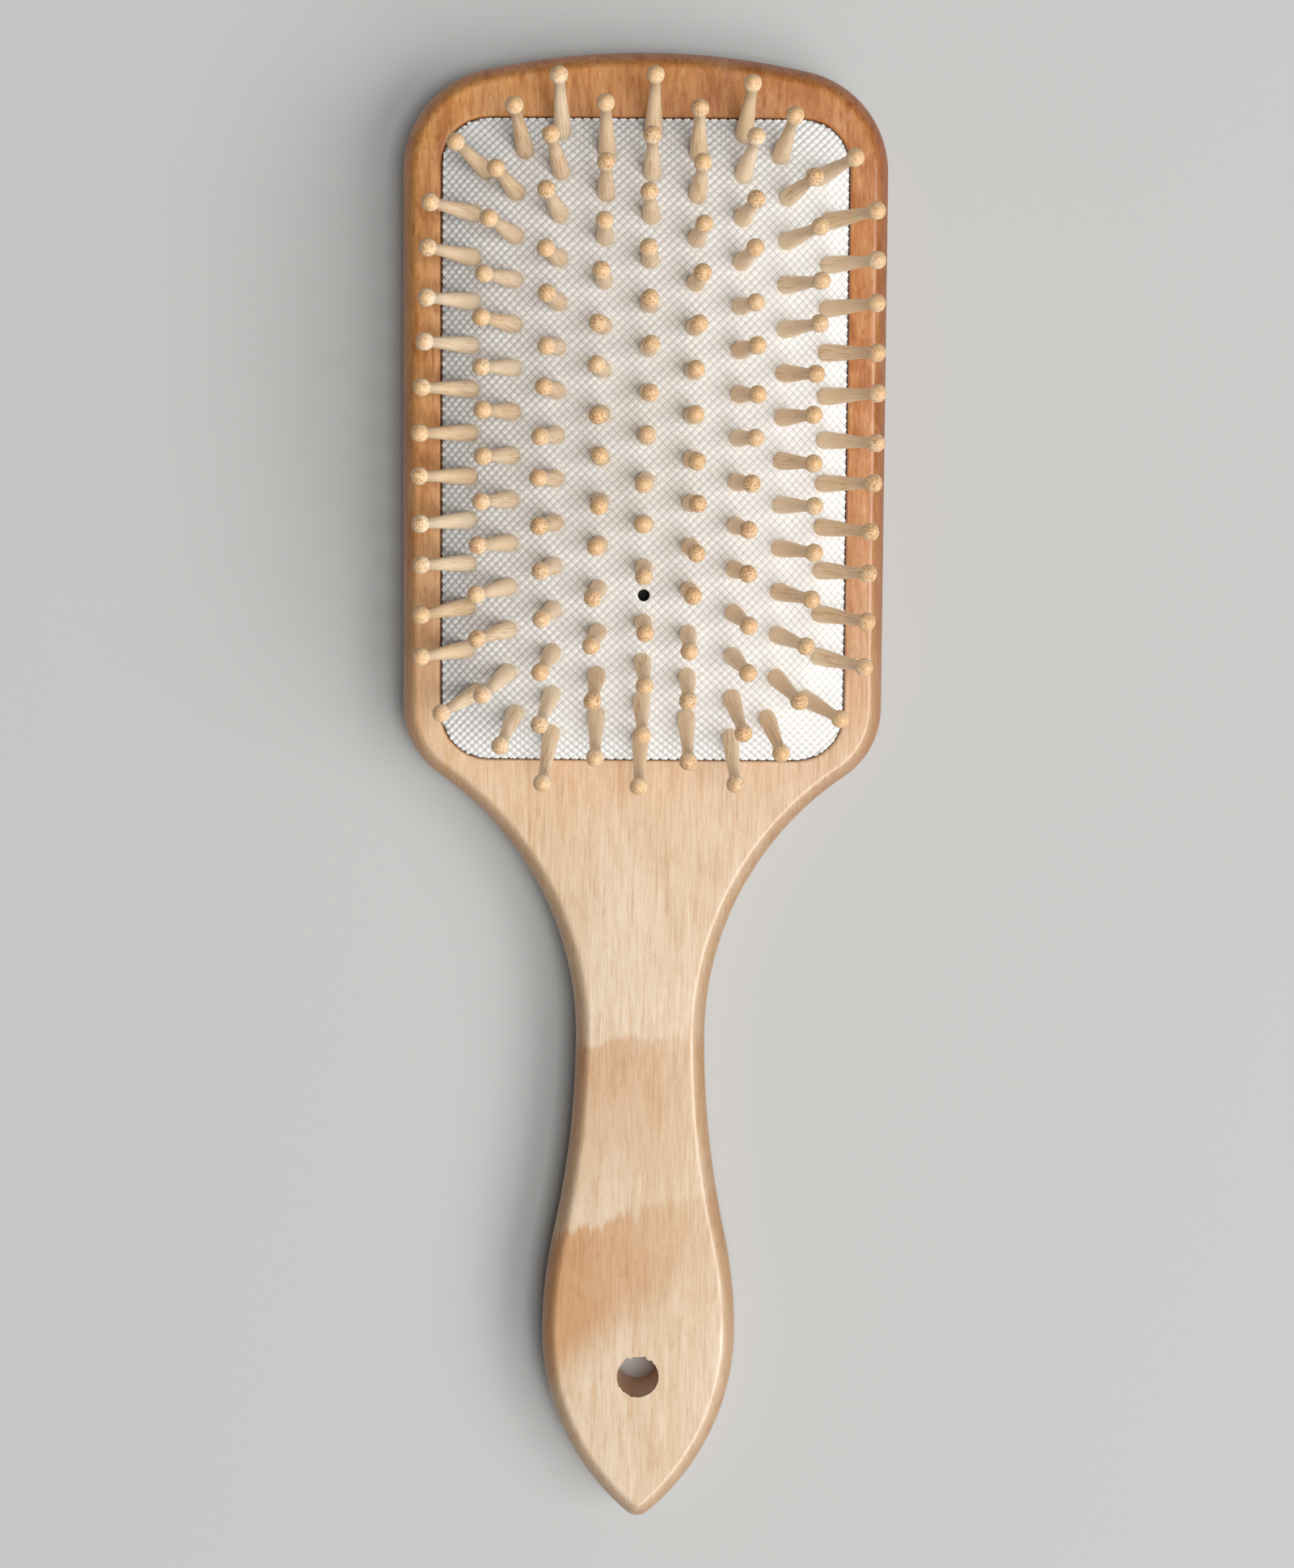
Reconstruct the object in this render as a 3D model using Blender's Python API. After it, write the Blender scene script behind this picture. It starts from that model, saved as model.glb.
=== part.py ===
"""Wooden paddle brush: a one-piece paddle, its air cushion and the pins that stand in it.

The back of the paddle lies on z = 0, the pins point up, and the head is toward +Y.
"""

import math

import bmesh
import bpy
from mathutils import Vector
from mathutils.geometry import delaunay_2d_cdt

MM = 0.001
GAP = 0.3 * MM

# Paddle: one board, cut to an outline of tangent arcs and rounded along its edges
LENGTH = 250 * MM
HEAD_WIDTH = 81 * MM
NECK_WIDTH = 22 * MM
HANDLE_WIDTH = 33.2 * MM
BOARD = 12.5 * MM
EDGE_ROUND = 2.4 * MM
EDGE_STEPS = 3
TOP_ARCH_RADIUS = 122.5 * MM
TOP_CORNER_RADIUS = 17 * MM
SHOULDER_RADIUS = 14 * MM
NECK_RADIUS = 54 * MM
GRIP_HOLLOW_RADIUS = 167 * MM
GRIP_SWELL_RADIUS = 75 * MM
TAIL_RADIUS = 42.5 * MM
TIP_RADIUS = 2.8 * MM
HANG_HOLE_DIAMETER = 7.2 * MM
HANG_HOLE_FROM_TIP = 25.2 * MM
HANG_HOLE_ROUND = 0.3 * MM
HANG_HOLE_SIDES = 24
CUTTER_OVERRUN = 2 * MM

# Recess in the head, with a groove round its wall that holds the cushion's bead
RECESS_CENTRE_Y = LENGTH / 2 - 64.5 * MM
RECESS_HALF_X = 34.05 * MM
RECESS_HALF_Y = 53.55 * MM
RECESS_CORNER = 8 * MM
RECESS_FLOOR = 5 * MM
GROOVE_LOW = 7.5 * MM
GROOVE_HIGH = 10 * MM
GROOVE_DEPTH = 1.6 * MM
CORNER_STEPS = 5

# Air cushion: a domed rubber skin with a skirt and a bead
SKIN = 1.5 * MM
SKIRT = 1 * MM
RIM_DROP = 0.5 * MM
CROWN = 6.6 * MM
CROWN_POWER_X = 3.2
CROWN_POWER_Y = 5
LONG_SIDE_STEPS = 12
SHORT_SIDE_STEPS = 7
VENT_DIAMETER = 2 * MM

# Pins: nine staggered columns, evenly pitched along the curve of the dome; the field of pins is a little
# turned and off the middle of the recess, and the ends of the outer columns are drawn in at the corners
COLUMN_PITCH = 7.55 * MM
ROW_PITCH = 7.25 * MM
COLUMN_PINS = (13, 14, 15, 14, 15, 14, 15, 14, 13)
FIELD_TURN = math.radians(0.8)
FIELD_SHIFT_X = 0.5 * MM
FIELD_SHIFT_Y = 0.9 * MM
CORNER_DRAW = {3: 1.3 * MM, 4: 2 * MM}
VENT_ROW = -4
VENT_MAKES_ROOM = 1.9 * MM
PIN_SIDES = 6
PIN_LENGTH = 17.7 * MM
PIN_BASE_RADIUS = 1.5 * MM
PIN_NECK_RADIUS = 0.9 * MM
BALL_RADIUS = 1.5 * MM
NECK_UNDER_BALL = 0.88 * BALL_RADIUS
BALL_BELT = 0.4 * BALL_RADIUS
BALL_CAP = 0.9 * BALL_RADIUS

# Each pin follows the slope of the dome, less so where it is steep, and sways a little by its own amount
SLOPE_EASE = 1.1
PIN_SWAY = math.tan(math.radians(1.4))
SWAY_ACROSS = (12.9, 7.3, 0)
SWAY_ALONG = (4.1, -9.7, 1)

# Inner ply under the skin, in slices that each carry a few pins of one column
PLY = 1.2 * MM
PLY_GAP = 0.6 * MM
PLY_HALF_WIDTH = 2.3 * MM
PLY_OVERHANG = 2.1 * MM
SLICES = ("top", "middle", "bottom")


def clear_scene():
    for thing in list(bpy.data.objects):
        bpy.data.objects.remove(thing)


def finish(name, colour, roughness):
    """Principled material with a plain colour."""
    material = bpy.data.materials.new(name)
    material.use_nodes = True
    shader = material.node_tree.nodes["Principled BSDF"]
    shader.inputs["Base Color"].default_value = (*colour, 1)
    shader.inputs["Roughness"].default_value = roughness
    shader.inputs["Metallic"].default_value = 0
    return material


def add_object(name, mesh_data, material, origin=(0, 0, 0), parent=None):
    """Turn a bmesh in world places into an object whose origin is where it pivots."""
    bmesh.ops.translate(mesh_data, verts=mesh_data.verts, vec=-Vector(origin))
    bmesh.ops.recalc_face_normals(mesh_data, faces=mesh_data.faces)
    mesh = bpy.data.meshes.new(name)
    mesh_data.to_mesh(mesh)
    mesh_data.free()
    mesh.shade_smooth()
    mesh.set_sharp_from_angle(angle=math.radians(40))
    mesh.materials.append(material)
    thing = bpy.data.objects.new(name, mesh)
    bpy.context.collection.objects.link(thing)
    thing.location = origin
    if parent:
        thing.parent = parent
        thing.location = Vector(origin) - parent.matrix_world.translation
    bpy.context.view_layer.update()
    return thing


def add_ring(mesh_data, points):
    return [mesh_data.verts.new(point) for point in points]


def bridge(mesh_data, first, second):
    """Band of quads between two rings with as many points each."""
    count = len(first)
    for i in range(count):
        j = (i + 1) % count
        mesh_data.faces.new((first[i], first[j], second[j], second[i]))


def loft(rings):
    """Closed body through rings of points, with flat ends."""
    mesh_data = bmesh.new()
    loops = [add_ring(mesh_data, ring) for ring in rings]
    for first, second in zip(loops, loops[1:]):
        bridge(mesh_data, first, second)
    mesh_data.faces.new(loops[0])
    mesh_data.faces.new(loops[-1])
    return mesh_data


def outline_chain():
    """Radius, turn and steps of each arc from the top of the head to the tip of the handle.

    A positive turn bulges outward, a negative one is hollow, and no radius means a straight run.
    """
    half_head = HEAD_WIDTH / 2
    half_neck = NECK_WIDTH / 2
    half_handle = HANDLE_WIDTH / 2
    top = math.asin((half_head - TOP_CORNER_RADIUS) / (TOP_ARCH_RADIUS - TOP_CORNER_RADIUS))
    shoulder = math.acos(1 - (half_head - half_neck) / (SHOULDER_RADIUS + NECK_RADIUS))
    grip = math.acos(1 - (half_handle - half_neck) / (GRIP_HOLLOW_RADIUS + GRIP_SWELL_RADIUS))
    tail = math.acos((TAIL_RADIUS - half_handle) / (TAIL_RADIUS - TIP_RADIUS))
    curved_length = (
        TOP_ARCH_RADIUS * (1 - math.cos(top))
        + TOP_CORNER_RADIUS * math.cos(top)
        + (SHOULDER_RADIUS + NECK_RADIUS) * math.sin(shoulder)
        + (GRIP_HOLLOW_RADIUS + GRIP_SWELL_RADIUS) * math.sin(grip)
        + TAIL_RADIUS * math.sin(tail)
        + TIP_RADIUS * (1 - math.sin(tail))
    )
    side = LENGTH - curved_length
    quarter = math.pi / 2
    return (
        (TOP_ARCH_RADIUS, top, 4),
        (TOP_CORNER_RADIUS, quarter - top, 8),
        (None, side, 1),
        (SHOULDER_RADIUS, shoulder, 6),
        (NECK_RADIUS, -shoulder, 8),
        (GRIP_HOLLOW_RADIUS, -grip, 4),
        (GRIP_SWELL_RADIUS, grip, 4),
        (TAIL_RADIUS, tail, 7),
        (TIP_RADIUS, quarter - tail, 4),
    )


def paddle_outline(inset, z):
    """Closed outline of the paddle, drawn in by inset, at height z."""
    x, y, heading = 0.0, LENGTH / 2 - inset, 0.0
    right = [(x, y)]
    for radius, turn, steps in outline_chain():
        if radius is None:
            y -= turn
            right.append((x, y))
            continue
        side = math.copysign(1, turn)
        reach = radius - side * inset
        centre_x = x + side * reach * math.sin(heading)
        centre_y = y - side * reach * math.cos(heading)
        for step in range(1, steps + 1):
            facing = heading - turn * step / steps
            x = centre_x - side * reach * math.sin(facing)
            y = centre_y + side * reach * math.cos(facing)
            right.append((x, y))
        heading -= turn
    right[-1] = (0.0, right[-1][1])
    left = [(-px, py) for px, py in reversed(right[1:-1])]
    return [Vector((px, py, z)) for px, py in right + left]


def rounded_rectangle(half_x, half_y, radius, z, long_steps=1, short_steps=1):
    """Closed rounded rectangle round the middle of the recess, sides split into steps."""
    corners = []
    for quadrant in range(4):
        sign_x = 1 if quadrant in (0, 3) else -1
        sign_y = 1 if quadrant in (0, 1) else -1
        centre = Vector((sign_x * (half_x - radius), RECESS_CENTRE_Y + sign_y * (half_y - radius), z))
        corner = []
        for step in range(CORNER_STEPS + 1):
            angle = math.pi / 2 * (quadrant + step / CORNER_STEPS)
            corner.append(centre + radius * Vector((math.cos(angle), math.sin(angle), 0)))
        corners.append(corner)
    points = []
    for quadrant, corner in enumerate(corners):
        points += corner
        following = corners[(quadrant + 1) % 4][0]
        steps = short_steps if quadrant % 2 == 0 else long_steps
        for step in range(1, steps):
            points.append(corner[-1].lerp(following, step / steps))
    return points


def recess_ring(inset, z, long_steps=1, short_steps=1):
    """Outline of the recess wall, drawn in by inset."""
    return rounded_rectangle(
        RECESS_HALF_X - inset, RECESS_HALF_Y - inset, RECESS_CORNER - inset, z, long_steps, short_steps
    )


def circle(centre_y, radius, z):
    """Ring of points for the hanging hole."""
    points = []
    for step in range(HANG_HOLE_SIDES):
        angle = 2 * math.pi * step / HANG_HOLE_SIDES
        points.append(Vector((radius * math.cos(angle), centre_y + radius * math.sin(angle), z)))
    return points


def add_cut(target, name, rings, material):
    """Cut a lofted shape out of a piece."""
    cutter = add_object(name, loft(rings), material)
    cutter.hide_render = True
    cutter.display_type = "WIRE"
    cut = target.modifiers.new(name, "BOOLEAN")
    cut.operation = "DIFFERENCE"
    cut.solver = "EXACT"
    cut.object = cutter


def make_paddle(wood):
    lower = []
    for step in range(EDGE_STEPS + 1):
        angle = math.pi / 2 * step / EDGE_STEPS
        lower.append((EDGE_ROUND * (1 - math.sin(angle)), EDGE_ROUND * (1 - math.cos(angle))))
    profile = lower + [(inset, BOARD - z) for inset, z in reversed(lower)]
    paddle = add_object("paddle", loft([paddle_outline(inset, z) for inset, z in profile]), wood)

    above = BOARD + CUTTER_OVERRUN
    recess = (
        recess_ring(0, RECESS_FLOOR),
        recess_ring(0, GROOVE_LOW),
        recess_ring(-GROOVE_DEPTH, GROOVE_LOW),
        recess_ring(-GROOVE_DEPTH, GROOVE_HIGH),
        recess_ring(0, GROOVE_HIGH),
        recess_ring(0, above),
    )
    add_cut(paddle, "recess_cutter", recess, wood)

    hole_y = HANG_HOLE_FROM_TIP - LENGTH / 2
    radius = HANG_HOLE_DIAMETER / 2
    flare = radius + 2 * HANG_HOLE_ROUND
    hole = (
        circle(hole_y, flare, -HANG_HOLE_ROUND),
        circle(hole_y, radius, HANG_HOLE_ROUND),
        circle(hole_y, radius, BOARD - HANG_HOLE_ROUND),
        circle(hole_y, flare, BOARD + HANG_HOLE_ROUND),
    )
    add_cut(paddle, "hang_hole_cutter", hole, wood)
    return paddle


def dome_height(x, y):
    """Height of the cushion's outer surface over a point of the recess."""
    across = 1 - min(1, abs(x) / RECESS_HALF_X) ** CROWN_POWER_X
    along = 1 - min(1, abs(y - RECESS_CENTRE_Y) / RECESS_HALF_Y) ** CROWN_POWER_Y
    return BOARD - RIM_DROP + (CROWN + RIM_DROP) * across * along


def dome_point(x, y):
    return Vector((x, y, dome_height(x, y)))


def dome_slope(x, y):
    reach = 0.1 * MM
    slope_x = (dome_height(x + reach, y) - dome_height(x - reach, y)) / (2 * reach)
    slope_y = (dome_height(x, y + reach) - dome_height(x, y - reach)) / (2 * reach)
    return Vector((slope_x, slope_y, 0))


def dome_normal(x, y):
    return (Vector((0, 0, 1)) - dome_slope(x, y)).normalized()


def step_along_dome(distance, section):
    """Plan distance from the middle that lies a given arc length along a section of the dome."""
    step = 0.05 * MM
    walked = 0.0
    place = 0.0
    while walked < distance:
        walked += math.hypot(step, section(place + step) - section(place))
        place += step
    return place


def column_place(column):
    """Plan x of a column of pins, counted from the middle one."""
    reach = step_along_dome(abs(column) * COLUMN_PITCH, lambda x: dome_height(x, RECESS_CENTRE_Y))
    return math.copysign(reach, column)


def row_place(row):
    """Plan distance of a row of pins from the middle of the cushion."""
    reach = step_along_dome(abs(row) * ROW_PITCH, lambda y: dome_height(0, RECESS_CENTRE_Y + y))
    return math.copysign(reach, row)


class Pin:
    """Place and direction of one pin where it leaves the cushion."""

    def __init__(self, column, row, last_row):
        across = column_place(column)
        along = row_place(row)
        if abs(row) == last_row:
            across -= math.copysign(CORNER_DRAW.get(abs(column), 0), column)
        if column == 0 and row <= VENT_ROW:
            along -= VENT_MAKES_ROOM * (last_row + row) / (last_row + VENT_ROW)
        x = FIELD_SHIFT_X + across * math.cos(FIELD_TURN) + along * math.sin(FIELD_TURN)
        y = RECESS_CENTRE_Y + FIELD_SHIFT_Y + along * math.cos(FIELD_TURN) - across * math.sin(FIELD_TURN)
        self.root = dome_point(x, y)
        slope = dome_slope(x, y)
        slope /= math.hypot(1, slope.length / SLOPE_EASE)
        sway_x, sway_y = (
            math.sin(by_column * column + by_row * row + start)
            for by_column, by_row, start in (SWAY_ACROSS, SWAY_ALONG)
        )
        sway = PIN_SWAY * Vector((sway_x, sway_y, 0))
        self.axis = (Vector((0, 0, 1)) - slope + sway).normalized()
        self.side = self.axis.cross(Vector((0, 1, 0))).normalized()
        self.front = self.axis.cross(self.side)

    def ring(self, along, radius):
        """Ring of points round the pin, a distance along it from the cushion's surface."""
        centre = self.root + along * self.axis
        points = []
        for step in range(PIN_SIDES):
            angle = 2 * math.pi * step / PIN_SIDES
            points.append(centre + radius * (math.cos(angle) * self.side + math.sin(angle) * self.front))
        return points


def make_columns():
    """Pins of every column from the top of the head down, keyed by the column's number."""
    columns = {}
    for index, count in enumerate(COLUMN_PINS):
        column = index - len(COLUMN_PINS) // 2
        last_row = (count - 1) / 2
        columns[column] = [Pin(column, last_row - step, last_row) for step in range(count)]
    return columns


def holed_triangles(outer, holes):
    """Triangles of a flat region with holes, as indexes into the outer points and then the holes'."""
    points = [Vector((point.x, point.y)) for point in outer]
    loops = [list(range(len(outer)))]
    for hole in holes:
        loops.append(list(range(len(points), len(points) + len(hole))))
        points += [Vector((point.x, point.y)) for point in hole]
    edges = []
    for loop in loops:
        edges += list(zip(loop, loop[1:] + loop[:1]))
    scale = 1 / MM
    flat = [point * scale for point in points]
    inside_constraints = 1
    triangles = delaunay_2d_cdt(flat, edges, [loops[0]], inside_constraints, 1e-5)[2]
    within = []
    for loop in loops[1:]:
        within.append(set(loop))
    return [triangle for triangle in triangles if not any(set(triangle) <= loop for loop in within)]


def make_cushion(rubber, columns, paddle):
    """Domed skin with a hole for each pin, a vent, and a skirt whose bead sits in the groove."""
    mesh_data = bmesh.new()
    sides = (LONG_SIDE_STEPS, SHORT_SIDE_STEPS)
    rim_height = BOARD - RIM_DROP
    rim = recess_ring(GAP, rim_height, *sides)
    under_rim = recess_ring(GAP + SKIRT, rim_height - SKIN, *sides)
    hole_radius = PIN_BASE_RADIUS + GAP / math.cos(math.pi / PIN_SIDES)
    pins = [pin for column in columns.values() for pin in column]
    top_holes = [pin.ring(0, hole_radius) for pin in pins]
    low_holes = [pin.ring(-SKIN, hole_radius) for pin in pins]
    vent = make_vent(columns[0])
    top_holes.append(vent.ring(0, VENT_DIAMETER / 2))
    low_holes.append(vent.ring(-SKIN, VENT_DIAMETER / 2))

    top_loops = [add_ring(mesh_data, ring) for ring in [rim] + top_holes]
    low_loops = [add_ring(mesh_data, ring) for ring in [under_rim] + low_holes]
    top_verts = [vert for loop in top_loops for vert in loop]
    low_verts = [vert for loop in low_loops for vert in loop]
    for triangle in holed_triangles(rim, top_holes):
        mesh_data.faces.new([top_verts[i] for i in triangle])
        mesh_data.faces.new([low_verts[i] for i in reversed(triangle)])
    for top_loop, low_loop in zip(top_loops[1:], low_loops[1:]):
        bridge(mesh_data, top_loop, low_loop)

    bead_high = GROOVE_HIGH - GAP
    bead_low = GROOVE_LOW + GAP
    skirt_profile = (
        (GAP, bead_high),
        (GAP * 2 - GROOVE_DEPTH, bead_high),
        (GAP * 2 - GROOVE_DEPTH, bead_low),
        (GAP + SKIRT, bead_low),
    )
    previous = top_loops[0]
    for inset, z in skirt_profile:
        ring = add_ring(mesh_data, recess_ring(inset, z, *sides))
        bridge(mesh_data, previous, ring)
        previous = ring
    bridge(mesh_data, previous, low_loops[0])
    return add_object("cushion", mesh_data, rubber, (0, RECESS_CENTRE_Y, BOARD), paddle)


def make_vent(middle_column):
    """Place of the air vent, midway between the two pins that make room for it."""
    below = len(middle_column) // 2 - VENT_ROW
    middle = (middle_column[below - 1].root + middle_column[below].root) / 2
    vent = Pin(0, 0, 0)
    vent.root = dome_point(middle.x, middle.y)
    vent.axis = dome_normal(middle.x, middle.y)
    return vent


def ply_sections(pins):
    """Plan places across which a slice of the ply is cut: its ends, and midway between its pins."""
    roots = [pin.root for pin in pins]
    reach = Vector((0, PLY_OVERHANG, 0))
    return [roots[0] + reach] + [(a + b) / 2 for a, b in zip(roots, roots[1:])] + [roots[-1] - reach]


def make_pins(name, pins, bamboo, cushion):
    """A few pins of one column, fused to the slice of the ply in which their feet sit."""
    mesh_data = bmesh.new()
    depth = SKIN + PLY_GAP
    left = []
    right = []
    for section in ply_sections(pins):
        for side, edge in ((-1, left), (1, right)):
            x = section.x + side * PLY_HALF_WIDTH
            normal = dome_normal(x, section.y)
            surface = dome_point(x, section.y)
            edge.append((surface - depth * normal, surface - (depth + PLY) * normal))
    border = left + right[::-1]
    top_border = [top for top, _ in border]
    feet = [pin.ring(-depth, PIN_BASE_RADIUS) for pin in pins]
    top_loop = add_ring(mesh_data, top_border)
    low_loop = add_ring(mesh_data, [low for _, low in border])
    foot_loops = [add_ring(mesh_data, foot) for foot in feet]
    top_verts = top_loop + [vert for loop in foot_loops for vert in loop]
    for triangle in holed_triangles(top_border, feet):
        mesh_data.faces.new([top_verts[i] for i in triangle])
    bridge(mesh_data, top_loop, low_loop)
    count = len(left)
    for i in range(count - 1):
        across = (low_loop[i], low_loop[i + 1], low_loop[-2 - i], low_loop[-1 - i])
        mesh_data.faces.new(across)

    belt_radius = math.sqrt(BALL_RADIUS**2 - BALL_BELT**2)
    profile = (
        (PIN_LENGTH - NECK_UNDER_BALL, PIN_NECK_RADIUS),
        (PIN_LENGTH - BALL_BELT, belt_radius),
        (PIN_LENGTH + BALL_BELT, belt_radius),
        (PIN_LENGTH + BALL_CAP, math.sqrt(BALL_RADIUS**2 - BALL_CAP**2)),
    )
    for pin, foot in zip(pins, foot_loops):
        previous = foot
        for along, radius in profile:
            ring = add_ring(mesh_data, pin.ring(along, radius))
            bridge(mesh_data, previous, ring)
            previous = ring
        mesh_data.faces.new(previous)

    middle = sum((pin.root for pin in pins), Vector()) / len(pins)
    column_x = pins[len(pins) // 2].root.x
    return add_object(name, mesh_data, bamboo, (column_x, middle.y, middle.z), cushion)


def slice_column(pins):
    """Split a column into a top, a middle and a bottom group, the end groups alike."""
    end = round(len(pins) / 3)
    return pins[:end], pins[end:-end], pins[-end:]


clear_scene()
wood = finish("beech_wood", (0.66, 0.42, 0.2), 0.4)
rubber = finish("white_rubber", (0.8, 0.8, 0.8), 0.6)
bamboo = finish("bamboo", (0.72, 0.5, 0.25), 0.5)
pin_columns = make_columns()
paddle = make_paddle(wood)
cushion = make_cushion(rubber, pin_columns, paddle)
for column, column_pins in pin_columns.items():
    for slice_name, group in zip(SLICES, slice_column(column_pins)):
        number = column + len(COLUMN_PINS) // 2 + 1
        make_pins(f"pins_column_{number}_{slice_name}", group, bamboo, cushion)
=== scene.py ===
import math
import random

import bpy
from mathutils import Matrix, Vector


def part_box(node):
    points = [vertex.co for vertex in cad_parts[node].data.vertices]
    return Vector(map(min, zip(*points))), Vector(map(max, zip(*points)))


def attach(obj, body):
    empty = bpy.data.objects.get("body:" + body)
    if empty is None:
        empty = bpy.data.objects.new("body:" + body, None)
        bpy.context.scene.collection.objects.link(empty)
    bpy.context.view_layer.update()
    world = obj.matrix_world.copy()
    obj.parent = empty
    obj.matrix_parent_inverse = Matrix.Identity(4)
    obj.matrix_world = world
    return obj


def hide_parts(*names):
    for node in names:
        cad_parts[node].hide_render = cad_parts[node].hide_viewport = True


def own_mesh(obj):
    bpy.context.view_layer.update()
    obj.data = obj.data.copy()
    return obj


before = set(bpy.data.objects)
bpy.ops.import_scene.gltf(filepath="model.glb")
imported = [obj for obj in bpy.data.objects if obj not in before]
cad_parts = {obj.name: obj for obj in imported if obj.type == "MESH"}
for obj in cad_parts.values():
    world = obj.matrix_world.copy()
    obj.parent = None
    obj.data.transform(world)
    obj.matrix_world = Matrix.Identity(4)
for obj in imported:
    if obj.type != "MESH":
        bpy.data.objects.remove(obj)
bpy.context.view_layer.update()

# Paddle. One board of close-grained maple, sawn to an outline of arcs that run into each other and
# rounded over along both edges with a router. The head is sunk for the cushion, the handle is drilled
# to hang by, and the whole is sanded and varnished to a satin finish.
mm = 0.001
paddle_low, paddle_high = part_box("paddle")
half_head = (paddle_high.x - paddle_low.x) / 2
half_neck = 11 * mm
half_handle = 16.6 * mm
board = paddle_high.z
arch_radius = 122.5 * mm
corner_radius = 17 * mm
shoulder_radius = 14 * mm
neck_radius = 54 * mm
hollow_radius = 167 * mm
swell_radius = 75 * mm
tail_radius = 42.5 * mm
tip_radius = 2.8 * mm
arc_step = 1.5 * mm
arc_step_turn = math.radians(5)
seam = 0.05 * mm
edge_round = 2.4 * mm
edge_steps = 6
edge_fullness = 0.33
crease_round = 0.3 * mm
crease_steps = 3
crease_fullness = 0.5
recess_from_top = 64.5 * mm
recess_middle = Vector((0, paddle_high.y - recess_from_top, 0))
recess_half = Vector((34.05 * mm, 53.55 * mm, 0))
recess_corner = 8 * mm
recess_corner_steps = 8
recess_floor = 5 * mm
recess_rim_round = 0.5 * mm
recess_rim_steps = 6
hole_from_tail = 25.2 * mm
hole_middle = Vector((0, paddle_low.y + hole_from_tail, 0))
hole_radius = 3.6 * mm
hole_sides = 72
board_facets = math.radians(18)


def pick(obj, kind, test):
    """Selects just the vertices, edges or faces of obj whose points pass test, and stays in edit mode."""
    bpy.ops.object.mode_set(mode="EDIT")
    bpy.ops.mesh.select_mode(type=kind)
    bpy.ops.mesh.select_all(action="DESELECT")
    bpy.ops.object.mode_set(mode="OBJECT")
    points = obj.data.vertices
    if kind == "VERT":
        for vertex in points:
            vertex.select = test([vertex.co])
    else:
        for part in obj.data.edges if kind == "EDGE" else obj.data.polygons:
            part.select = test([points[index].co for index in part.vertices])
    bpy.ops.object.mode_set(mode="EDIT")


def all_at_height(height):
    leeway = 0.01 * mm
    return lambda points: all(abs(point.z - height) < leeway for point in points)


def extrude(rise):
    bpy.ops.mesh.extrude_region_move(TRANSFORM_OT_translate={"value": (0, 0, rise)})


def cut(obj, cutter):
    """Takes the cutter's shape out of obj and clears the cutter away."""
    bpy.ops.object.select_all(action="DESELECT")
    bpy.context.view_layer.objects.active = obj
    bpy.ops.object.modifier_add(type="BOOLEAN")
    boolean = obj.modifiers[-1]
    boolean.operation = "DIFFERENCE"
    boolean.solver = "EXACT"
    boolean.object = cutter
    bpy.ops.object.modifier_apply(modifier=boolean.name)
    cutter.select_set(True)
    bpy.ops.object.delete()
    obj.select_set(True)


def right_of(heading):
    return Vector((math.sin(heading), -math.cos(heading), 0))


def draw_arc(point, heading, radius, turn):
    """Draws the outline on by an arc, to the right for a turn above 0, and tells where it ends."""
    side = math.copysign(1, turn)
    centre = point + side * radius * right_of(heading)
    steps = math.ceil(max(radius * abs(turn) / arc_step, abs(turn) / arc_step_turn))
    bpy.ops.mesh.spin(steps=steps, angle=turn, center=centre, axis=(0, 0, 1))
    heading -= turn
    return centre - side * radius * right_of(heading), heading


arch_turn = math.asin((half_head - corner_radius) / (arch_radius - corner_radius))
shoulder_turn = math.acos(1 - (half_head - half_neck) / (shoulder_radius + neck_radius))
grip_turn = math.acos(1 - (half_handle - half_neck) / (hollow_radius + swell_radius))
tail_turn = math.acos((tail_radius - half_handle) / (tail_radius - tip_radius))
bow_of_arcs = (
    (arch_radius, arch_turn),
    (corner_radius, math.pi / 2 - arch_turn),
)
grip_of_arcs = (
    (shoulder_radius, shoulder_turn),
    (neck_radius, -shoulder_turn),
    (hollow_radius, -grip_turn),
    (swell_radius, grip_turn),
    (tail_radius, tail_turn),
    (tip_radius, math.pi / 2 - tail_turn),
)

bpy.ops.object.select_all(action="DESELECT")
bpy.ops.mesh.primitive_plane_add(size=mm)
paddle = bpy.context.object
paddle.name = "paddle_board"
bpy.ops.object.mode_set(mode="EDIT")
bpy.ops.mesh.merge(type="CENTER")
bpy.ops.mesh.select_all(action="SELECT")
bpy.ops.transform.translate(value=(0, paddle_high.y, 0))
point = Vector((0, paddle_high.y, 0))
heading = 0
for radius, turn in bow_of_arcs:
    point, heading = draw_arc(point, heading, radius, turn)
# The straight side takes up what the arcs leave of the length.
grip_length = (
    (shoulder_radius + neck_radius) * math.sin(shoulder_turn)
    + (hollow_radius + swell_radius) * math.sin(grip_turn)
    + (tail_radius - tip_radius) * math.sin(tail_turn)
    + tip_radius
)
side_end = paddle_low.y + grip_length
bpy.ops.mesh.extrude_vertices_move(TRANSFORM_OT_translate={"value": (0, side_end - point.y, 0)})
point = Vector((point.x, side_end, 0))
for radius, turn in grip_of_arcs:
    point, heading = draw_arc(point, heading, radius, turn)
bpy.ops.object.mode_set(mode="OBJECT")
bpy.ops.object.modifier_add(type="MIRROR")
paddle.modifiers[-1].merge_threshold = seam
bpy.ops.object.modifier_apply(modifier=paddle.modifiers[-1].name)
bpy.ops.object.mode_set(mode="EDIT")
bpy.ops.mesh.select_all(action="SELECT")
bpy.ops.mesh.edge_face_add()
extrude(board)
bpy.ops.mesh.select_all(action="SELECT")
bpy.ops.mesh.normals_make_consistent(inside=False)
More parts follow.
